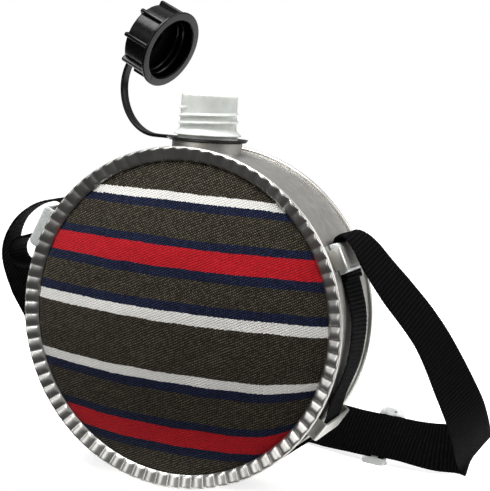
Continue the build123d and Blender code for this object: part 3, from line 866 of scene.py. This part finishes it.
# ---------------------------------------------------------------- tether: ring, arm and eyelet in one
def arm_path():
    """Points (out, up) and travel angles of the arm's middle line, from the ring to the eyelet."""
    eyelet = END_CENTRE - MOUTH_DIR * (EYELET_LIFT + TETHER_THICK / 2)
    eyelet_out, eyelet_z = eyelet.dot(AWAY), eyelet.z
    lean, tilt = radians(LEAN_ANGLE), radians(CAP_TILT)
    flat_in = FLATTEN_RADIUS * (cos(tilt) - cos(lean)) + FLAT_LENGTH * sin(tilt)
    flat_up = FLATTEN_RADIUS * (sin(lean) - sin(tilt)) + FLAT_LENGTH * cos(tilt)
    lean_radius = (ARM_OUT - eyelet_out - flat_in) / (1 - cos(lean))
    rise_radius = eyelet_z - flat_up - lean_radius * sin(lean) - HINGE_Z
    out, up, angle = 20.5, HINGE_Z, 0.0
    path = [(out, up, angle)]
    runs = (
        (ARM_OUT - rise_radius - out, 0.0, 10),
        (rise_radius * pi / 2, pi / 2, 26),
        (lean_radius * lean, lean, 20),
        (FLATTEN_RADIUS * (lean - tilt), tilt - lean, 8),
        (FLAT_LENGTH - 1.0, 0.0, 4),
    )
    for length, turn, steps in runs:
        for _ in range(steps):
            angle += turn / steps / 2
            out += cos(angle) * length / steps
            up += sin(angle) * length / steps
            angle += turn / steps / 2
            path.append((out, up, angle))
    return path


def build_tether():
    """Dished ring, curved arm and eyelet, joined into one closed mesh."""
    top = RING_Z + 1.1
    ring_outline = rounded([
        (17.9, RING_Z, 0.3), (22.4, RING_Z, 0.6), (23.7, RING_Z + 1.7, 0.3),
        (23.2, RING_Z + 1.9, 0.3), (21.9, top, 0.6), (17.9, top, 0.3),
    ], 0.3, 3)
    ring = turned("tether_moulding", ring_outline, 128, NECK_PLACE)
    across = UP.cross(AWAY)
    wide, deep = TETHER_WIDTH / 2, TETHER_THICK / 2
    section = rounded(rectangle(-wide, wide, -deep, deep), 0.7, 3)
    rings = []
    for out, up, angle in arm_path():
        centre = AWAY * out + UP * up
        normal = AWAY * -sin(angle) + UP * cos(angle)
        # The arm is thinner where it leaves the ring.
        thin = 0.62 if out < 27 and up < HINGE_Z + 1 else 1.0
        rings.append([tuple(centre + across * u + normal * v * thin) for u, v in section])
    arm = swept("arm", rings)
    ring = combine(ring, arm, "UNION")
    eyelet_place = place(END_CENTRE - MOUTH_DIR * EYELET_LIFT, UP.cross(CAP_AWAY), -MOUTH_DIR)
    eyelet_outline = rounded(rectangle(EYELET_BORE, EYELET_RADIUS, 0.0, TETHER_THICK), 0.45, 3)
    ring = combine(ring, turned("eyelet", eyelet_outline, 64, eyelet_place), "UNION")
    smooth_by_angle(ring, 45)
    return ring


tether = build_tether()
finish_piece(tether, tether_plastic, None, "tether_plastic", "retainer_ring", "tether_strap")
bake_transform(tether)


# ---------------------------------------------------------------- webbing
OVER_RIM = BAND_OUTER + 2.8
HALF_WIDTH = WEBBING_WIDTH / 2
ALONG_Y = (0, HALF_WIDTH, 0)
UPRIGHT = (0, 0, HALF_WIDTH)
LEANING = (1.92, 9.34, 11.58)
TWISTED = (-2.4, 14.8, 0)
EDGE_ON = (-3.6, 14.5, 0)


def on_rim(angle, radius=OVER_RIM):
    """Point at an angle and radius round the rim."""
    return (radius * cos(radians(angle)), 0, CENTRE_Z + radius * sin(radians(angle)))


def smooth_line(knots, values, places):
    """Natural cubic spline through values at knots, read at places."""
    values = np.asarray(values, float)
    gaps = np.diff(knots)
    count = len(knots)
    system = np.eye(count)
    right = np.zeros_like(values)
    for i in range(1, count - 1):
        system[i, i - 1:i + 2] = gaps[i - 1], 2 * (gaps[i - 1] + gaps[i]), gaps[i]
        right[i] = 6 * ((values[i + 1] - values[i]) / gaps[i] - (values[i] - values[i - 1]) / gaps[i - 1])
    bend = np.linalg.solve(system, right)
    cell = np.clip(np.searchsorted(knots, places, side="right") - 1, 0, count - 2)
    gap = gaps[cell][:, None]
    before = (places - knots[cell])[:, None]
    after = (knots[cell + 1] - places)[:, None]
    return (
        bend[cell] * after**3 / (6 * gap)
        + bend[cell + 1] * before**3 / (6 * gap)
        + (values[cell] / gap - bend[cell] * gap / 6) * after
        + (values[cell + 1] / gap - bend[cell + 1] * gap / 6) * before
    )


def distances(points):
    """How far along a line each of its points is."""
    return np.concatenate(([0.0], np.cumsum(np.linalg.norm(np.diff(points, axis=0), axis=1))))


SAMPLES_PER_RIB = 4
RIBBON_COLUMNS = 15
RIB_RELIEF = 0.26            # the cross ribs stand this proud, in mm
EDGE_RELIEF = 0.16           # and the selvage bulges by this much


def ribbon(name, stations, thick=WEBBING_THICK, ribbed=True):
    """Webbing along stations of (middle, half-width vector), with ribs in its mesh and a UV in metres."""
    middles = np.array([middle for middle, _ in stations], float)
    halves = np.array([half for _, half in stations], float)
    knots = distances(middles)
    dense = np.linspace(0, knots[-1], 4000)
    line = smooth_line(knots, middles, dense)
    run = distances(line)
    step = RIB_PITCH / SAMPLES_PER_RIB if ribbed else 3.0
    count = int(run[-1] / step) + 1
    travelled = np.linspace(0, run[-1], count)
    places = np.interp(travelled, run, dense)
    centre = smooth_line(knots, middles, places)
    tangent = np.gradient(centre, axis=0)
    tangent /= np.linalg.norm(tangent, axis=1)[:, None]
    half_at = np.column_stack([np.interp(places, knots, halves[:, i]) for i in range(3)])
    width = np.linalg.norm(half_at, axis=1)
    sideways = half_at - tangent * (half_at * tangent).sum(1)[:, None]
    sideways /= np.linalg.norm(sideways, axis=1)[:, None]
    facing = np.cross(tangent, sideways)
    phase = travelled / RIB_PITCH * pi
    rib = np.abs(np.sin(phase)) if ribbed else np.ones(count)
    spread = np.sin(np.linspace(-pi / 2, pi / 2, RIBBON_COLUMNS))
    body = (1 - np.abs(spread) ** 8) ** 0.5
    rings, flat = [], []
    for i in range(count):
        bulge = EDGE_RELIEF * (rib[i] - 0.6) if ribbed else 0.0
        reach = min(width[i], HALF_WIDTH) - EDGE_RELIEF + bulge
        deep = thick / 2 - (RIB_RELIEF * (1 - rib[i]) if ribbed else 0.0)
        ring = []
        for level, order in ((1, range(RIBBON_COLUMNS)), (-1, range(RIBBON_COLUMNS - 2, 0, -1))):
            for j in order:
                height = level * deep * max(body[j], 0.12)
                ring.append(centre[i] + sideways[i] * reach * spread[j] + facing[i] * height)
                flat.append((travelled[i] * MM, reach * spread[j] * MM))
        rings.append(ring)
    piece = swept(name, rings)
    layer = piece.data.uv_layers.new(name=WEAVE_UV)
    for loop in piece.data.loops:
        layer.data[loop.index].uv = flat[loop.vertex_index]
    return piece


RIM_STRAP_RADIUS = BAND_OUTER + 0.2 + WEBBING_THICK / 2


def wander(angle):
    """How far the rim strap lies off the band's middle: it drifts to the front low on the right."""
    return -5.6 * exp(-((angle + 24) / 22) ** 2)


def slack(angle):
    """How far the rim strap stands off the band: loose on the right, and lifted inside the lower clips."""
    loose = 2.0 * exp(-((angle + 4) / 16) ** 4)
    lifted = 4.2 * exp(-((angle + 32) / 9) ** 2) + 4.2 * exp(-((angle + 148) / 9) ** 2)
    return max(loose, lifted)


rim_stations = []
for angle in range(31, -212, -6):
    x, _, z = on_rim(angle, RIM_STRAP_RADIUS + slack(angle))
    rim_stations.append(((x, wander(angle), z), ALONG_Y))
finish_piece(ribbon("rim_webbing", rim_stations), webbing, "canteen", "webbing", "rim_strap")

# The right end goes up through the upper right clip, folds out over it, hangs down beside the rim,
# turns sharply on the ground and runs back past the slide, its top edge leaning back.
right_stations = [
    (on_rim(18), ALONG_Y),
    (on_rim(24.5), ALONG_Y),
    (on_rim(29), ALONG_Y),
    ((84.8, 0, 149.8), ALONG_Y),
    ((87.4, 0, 153.2), ALONG_Y),
    ((92.8, 0.5, 151.8), (0.5, 14.9, 1.5)),
    ((101.5, 2.5, 142.4), (1.5, 14.2, 4.6)),
    ((116.5, 8, 123), (3, 13.3, 6.3)),
    ((133.5, 16, 101), (3.5, 12.8, 7)),
    ((146, 27, 75), (6, 11.4, 7.7)),
    ((154.5, 42, 50), (7.6, 9.6, 8.7)),
    ((155.5, 63, 30.5), (8.2, 7.1, 10.3)),
    ((154.5, 79, 21), (8.9, 4.8, 13)),
    ((151.5, 89, 15.8), (9.2, 2.4, 14.8)),
    ((145, 90.8, 15.9), (4, 1, 15.2)),
    ((130, 89.4, 16.0), (2.4, 4.8, 14)),
    ((110, 92.1, 16.3), LEANING),
    ((91.6, 96, 16.3), LEANING),
    ((72, 100.2, 16.3), LEANING),
    ((52, 105.5, 16), (1.2, 5.5, 13.9)),
    ((28, 110, 15.4), UPRIGHT),
    ((12, 110.6, 15.4), UPRIGHT),
]
finish_piece(ribbon("right_webbing", right_stations), webbing, "canteen", "webbing", "shoulder_strap_right")

# The left end lies behind the other layer on the ground, rises past the rim and turns in over the
# upper left clip, down through it, and out below as a short tail.
left_stations = [
    ((97.5, 97.3, 14.3), LEANING),
    ((86.5, 99.6, 14.3), LEANING),
    ((72.9, 102.5, 14.3), LEANING),
    ((52.8, 108.8, 14.5), (1.2, 5.5, 13.9)),
    ((28, 113.2, 15), UPRIGHT),
    ((0, 113, 15.4), UPRIGHT),
    ((-28, 108.5, 15.4), UPRIGHT),
    ((-56, 99, 15.8), UPRIGHT),
    ((-80, 86, 19.5), (0, 1.5, 14.9)),
    ((-100, 69, 31), (0, 4.5, 14.3)),
    ((-114, 50, 52), (0, 7.5, 13)),
    ((-122, 32, 78), (0, 11, 10.2)),
    ((-127, 14, 103), (0, 14.3, 4.5)),
    ((-129, 3, 123), TWISTED),
    ((-122.6, 0, 140.5), EDGE_ON),
    ((-109.6, 0, 152), EDGE_ON),
    ((-95, 0, 156.6), (-0.8, 14.9, 0)),
    ((-86.8, 0, 156.2), ALONG_Y),
    ((-83.6, 0, 153.0), ALONG_Y),
    (on_rim(149.5), ALONG_Y),
    (on_rim(155.5), ALONG_Y),
    (on_rim(162), ALONG_Y),
    ((-98.2, 0, 121.5), ALONG_Y),
    ((-105, 0, 116.8), TWISTED),
    ((-114, 0, 115), TWISTED),
    ((-121, 0, 118.5), TWISTED),
    ((-122.3, 0, 126), TWISTED),
    ((-117, 0, 132), TWISTED),
    ((-109.5, 0, 133.5), TWISTED),
]
finish_piece(ribbon("left_webbing", left_stations), webbing, "canteen", "webbing", "shoulder_strap_left")

STRIP_RADIUS = (BAND_INNER + DRUM_RADIUS - 3.6) / 2
felt_stations = [(on_rim(angle, STRIP_RADIUS), (0, 14.3, 0)) for angle in range(76, -253, -8)]
felt_strip = ribbon("rim_felt_padding", felt_stations, 3.2, ribbed=False)
finish_piece(felt_strip, felt, "canteen", "felt", "rim_felt_strip")


# ---------------------------------------------------------------- sheet-steel clips and plastic keepers
def rim_place(angle):
    """Local frame at the disc's centre: x across the band, y outwards at the angle, z along the rim."""
    along = Vector((sin(radians(angle)), 0, -cos(radians(angle))))
    return place((0, 0, CENTRE_Z), (0, 1, 0), along)


def bridge(name, angle, half_width, foot, top, wall, corner, length):
    """U-shaped strip across the strap with bent corners."""
    inner = half_width - wall
    outline = rounded([
        (-half_width, foot, 0.1), (-inner, foot, 0.1), (-inner, top - wall, corner - wall),
        (inner, top - wall, corner - wall), (inner, foot, 0.1), (half_width, foot, 0.1),
        (half_width, top, corner), (-half_width, top, corner),
    ], 0.3, 5)
    return prism(name, outline, length, rim_place(angle))


CLIPS = {
    "clip_upper_right": 25.6,
    "clip_upper_left": 154.4,
    "clip_lower_right": -32.0,
    "clip_lower_left": 212.0,
}
for name, angle in CLIPS.items():
    clip = bridge(f"{name}_sheet", angle, 22.0, BAND_OUTER + 0.05, 103.3, 1.2, 2.4, 11.6)
    soften(clip, 0.22, 50)
    finish_piece(clip, steel, "canteen", "steel", name)

KEEPER_WALL = 1.3
# Angle on the rim, half width, height of the top from the disc's centre, and length along the rim.
KEEPERS = {"keeper_right": (25.6, 16.8, 101.6, 17.6), "keeper_left": (154.9, 23.6, 107.3, 25.0)}
# Its rounded end: place along half its length, and how far the top has dropped there.
KEEPER_END = ((0.8, 0), (0.9, 0.45), (0.965, 1.2), (1, 2.4))


def rounded_bridge(name, angle, half_width, top, length):
    """Moulded bridge across the strap whose height is rounded off at both ends."""
    inner = half_width - KEEPER_WALL
    foot = BAND_OUTER + 0.2
    rings = []
    for end, drop in [(-end, drop) for end, drop in reversed(KEEPER_END)] + list(KEEPER_END):
        roof = top - drop
        under = top - KEEPER_WALL - drop * 0.1 - 1.2 * (drop > 2)
        outline = rounded([
            (-half_width, foot, 0.1), (-inner, foot, 0.1), (-inner, under, 1.0), (inner, under, 1.0),
            (inner, foot, 0.1), (half_width, foot, 0.1), (half_width, roof, 2.2), (-half_width, roof, 2.2),
        ], 0.3, 5)
        rings.append([(p[0], p[1], end * length / 2) for p in outline])
    return swept(name, rings, rim_place(angle))


for name, (angle, half_width, top, length) in KEEPERS.items():
    keeper = rounded_bridge(f"{name}_moulding", angle, half_width, top, length)
    soften(keeper, 0.3, 50, 3)
    finish_piece(keeper, milky_plastic, "canteen", "clear_plastic", name)


# ---------------------------------------------------------------- slide on the shoulder strap
SLIDE_ALONG = Vector((-0.9785, 0.2063, 0))
SLIDE_UP = Vector(LEANING).normalized()
SLIDE_BACK = SLIDE_ALONG.cross(SLIDE_UP)
SLIDE_CENTRE = Vector((91.6, 96, 16.3)) + SLIDE_BACK * 3.2
SLIDE_LENGTH = 13.0
SLIDE_HEIGHT = 41.6
SLIDE_RAIL = 5.2
RAIL_LENGTH = 16.0
SLIDE_BAR = 3.0
BAR_THICK = 1.2
WEBBING_GAP = 2.0
SLIDE_HOLE = 0.8


def slide_block(name, xs, ys, zs, corner):
    """Block of the slide in its own frame, between pairs of x, y and z, its outline's corners rounded."""
    outline = rounded(rectangle(*sorted(xs), *ys), corner, 5)
    middle = SLIDE_CENTRE + SLIDE_BACK * (zs[0] + zs[1]) / 2
    return prism(name, outline, zs[1] - zs[0], place(middle, SLIDE_ALONG, SLIDE_BACK))


def build_slide():
    """Frame with one bar in front, two behind, and rounded end rails, the upper one with a hole."""
    side, end, rail, gap = SLIDE_LENGTH / 2, SLIDE_HEIGHT / 2, RAIL_LENGTH / 2, WEBBING_GAP / 2
    deep = gap + BAR_THICK
    opening = (SLIDE_RAIL - end, end - SLIDE_RAIL)
    slide = slide_block("strap_slide_moulding", (-rail, rail), (-end, end), (-deep, deep), 4.5)
    cuts = [
        slide_block("window", (-rail - 2, rail + 2), opening, (-gap, gap), 0.3),
        slide_block("back_gap", (SLIDE_BAR - side, side - SLIDE_BAR), opening, (0, deep + 1), 0.8),
    ]
    for level in (-1, 1):
        past_end = level * (rail + 2)
        beside_bar = (level * (SLIDE_BAR + 1) / 2, past_end)
        cuts.append(slide_block("front_gap", beside_bar, opening, (-deep - 1, 0), 0.8))
        cuts.append(slide_block("side_gap", (level * side, past_end), opening, (0, deep + 1), 0.1))
    hole = SLIDE_CENTRE - SLIDE_ALONG * SLIDE_LENGTH / 5 + SLIDE_UP * (end - SLIDE_RAIL / 2)
    hole_place = place(hole, SLIDE_ALONG, SLIDE_BACK)
    cuts.append(column_solid("drill", lambda angle, height: SLIDE_HOLE, [-8.0, 8.0], 24, hole_place))
    for cut in cuts:
        slide = combine(slide, cut, "DIFFERENCE")
    return soften(slide, 0.45, 50, 3)


finish_piece(build_slide(), milky_plastic, "slide", "clear_plastic", "strap_slide")

# ---------------------------------------------------------------- band, collar and bottle
BEAD_Y = 29.6
BEAD_RADIUS = 1.4
BEAD_CENTRE = 96.6
NECK_HOLE = 18.0


def build_band():
    """Sheet band with a rolled bead along each edge and a hole for the neck."""
    outside = -pi + acos((BEAD_CENTRE - BAND_OUTER) / BEAD_RADIUS)
    inside = pi + acos((BEAD_CENTRE - BAND_INNER) / BEAD_RADIUS)
    upper = []
    for angle in np.linspace(outside, inside, 21):
        upper.append((BEAD_CENTRE + BEAD_RADIUS * cos(angle), BEAD_Y + BEAD_RADIUS * sin(angle)))
    outline = upper + [(radius, -height) for radius, height in reversed(upper)]
    band = turned("rim_band_sheet", outline, 288, place((0, 0, CENTRE_Z), (1, 0, 0), (0, 1, 0)))
    hole = column_solid("neck_hole", lambda angle, height: NECK_HOLE, [180.0, 200.0], 96, NECK_PLACE)
    band = combine(band, hole, "DIFFERENCE")
    smooth_by_angle(band, 40)
    return band


finish_piece(build_band(), steel, "canteen", "steel", "rim_band")
paint(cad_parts["neck_collar"], collar_steel)
paint(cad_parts["bottle"], bottle_plastic)


# ---------------------------------------------------------------- studio
LIT_POINT = Vector((0, 0, 0.1))


def area_light(name, spot, size, power):
    """Soft square light that points at the object."""
    light = bpy.data.lights.new(name, "AREA")
    light.size = size
    light.energy = power
    lamp = bpy.data.objects.new(name, light)
    lamp.location = spot
    lamp.rotation_euler = (LIT_POINT - Vector(spot)).to_track_quat("-Z", "Y").to_euler()
    show(lamp)


FLOOR_RADIUS = 1.3
FLOOR_BACK = 1.255           # mostly behind the object, so that little of it is mirrored in the front


def build_studio():
    """Pale floor, white surroundings that are brighter overhead, and three soft lights."""
    floor_mesh = bpy.data.meshes.new("floor")
    rim = [(FLOOR_RADIUS * cos(turn), FLOOR_BACK + FLOOR_RADIUS * sin(turn), 0) for turn in circle(120)]
    floor_mesh.from_pydata(rim, [], [tuple(range(len(rim)))])
    floor = bpy.data.objects.new("floor", floor_mesh)
    show(floor)
    pale, _, _ = blank_material("pale_floor", Base_Color=(0.8, 0.8, 0.8, 1), Roughness=0.9,
                                Emission_Color=(1, 1, 1, 1), Emission_Strength=0.7, Specular_IOR_Level=0.0)
    floor_mesh.materials.append(pale)

    world = bpy.data.worlds.new("studio")
    bpy.context.scene.world = world
    world.use_nodes = True
    tree = world.node_tree
    direction = node(tree, "TexCoord").outputs["Generated"]
    axes = node(tree, "SeparateXYZ", {0: direction}).outputs
    tilt = plus(tree, axes[2], times(tree, axes[0], 0.15))
    ramp = node(tree, "ValToRGB", {0: plus(tree, times(tree, tilt, 0.5), 0.5)})
    low, high = ramp.color_ramp.elements
    low.position, high.position = 0.44, 0.85
    low.color = (0.08, 0.08, 0.08, 1)
    high.color = (0.5, 0.5, 0.5, 1)
    seen = node(tree, "LightPath").outputs["Is Camera Ray"]
    shown = node(tree, "Mix", {0: seen, 6: ramp.outputs[0], 7: (1, 1, 1, 1)}, data_type="RGBA").outputs[2]
    tree.links.new(shown, tree.nodes["Background"].inputs["Color"])
    area_light("overhead_light", (-0.2, -0.42, 1.4), 0.9, 33)
    area_light("front_light", (-1.0, -1.7, 0.75), 1.2, 9)
    area_light("side_light", (1.5, 0.25, 0.95), 1.2, 15)


CAMERA_PLACE = (0.2989, -0.7077, 0.2308)
CAMERA_YAW = radians(21.0)
CAMERA_PITCH = radians(6.8)
CAMERA_ROLL = radians(3.5)
CAMERA_LENS = 97.1


def build_camera():
    """Camera at the photographed angle: from the right, slightly above, slightly rolled."""
    yaw, pitch, roll = CAMERA_YAW, CAMERA_PITCH, CAMERA_ROLL
    back = Vector((sin(yaw) * cos(pitch), -cos(yaw) * cos(pitch), sin(pitch)))
    level = Vector((cos(yaw), sin(yaw), 0))
    upward = back.cross(level)
    right = level * cos(roll) + upward * sin(roll)
    over = upward * cos(roll) - level * sin(roll)
    data = bpy.data.cameras.new("camera")
    data.sensor_width = 36.0
    data.lens = CAMERA_LENS
    camera = bpy.data.objects.new("camera", data)
    turn = Matrix((right, over, back)).transposed().to_4x4()
    camera.matrix_world = Matrix.Translation(CAMERA_PLACE) @ turn
    show(camera)
    bpy.context.scene.camera = camera


build_studio()
build_camera()
bpy.context.scene.view_settings.view_transform = "Standard"
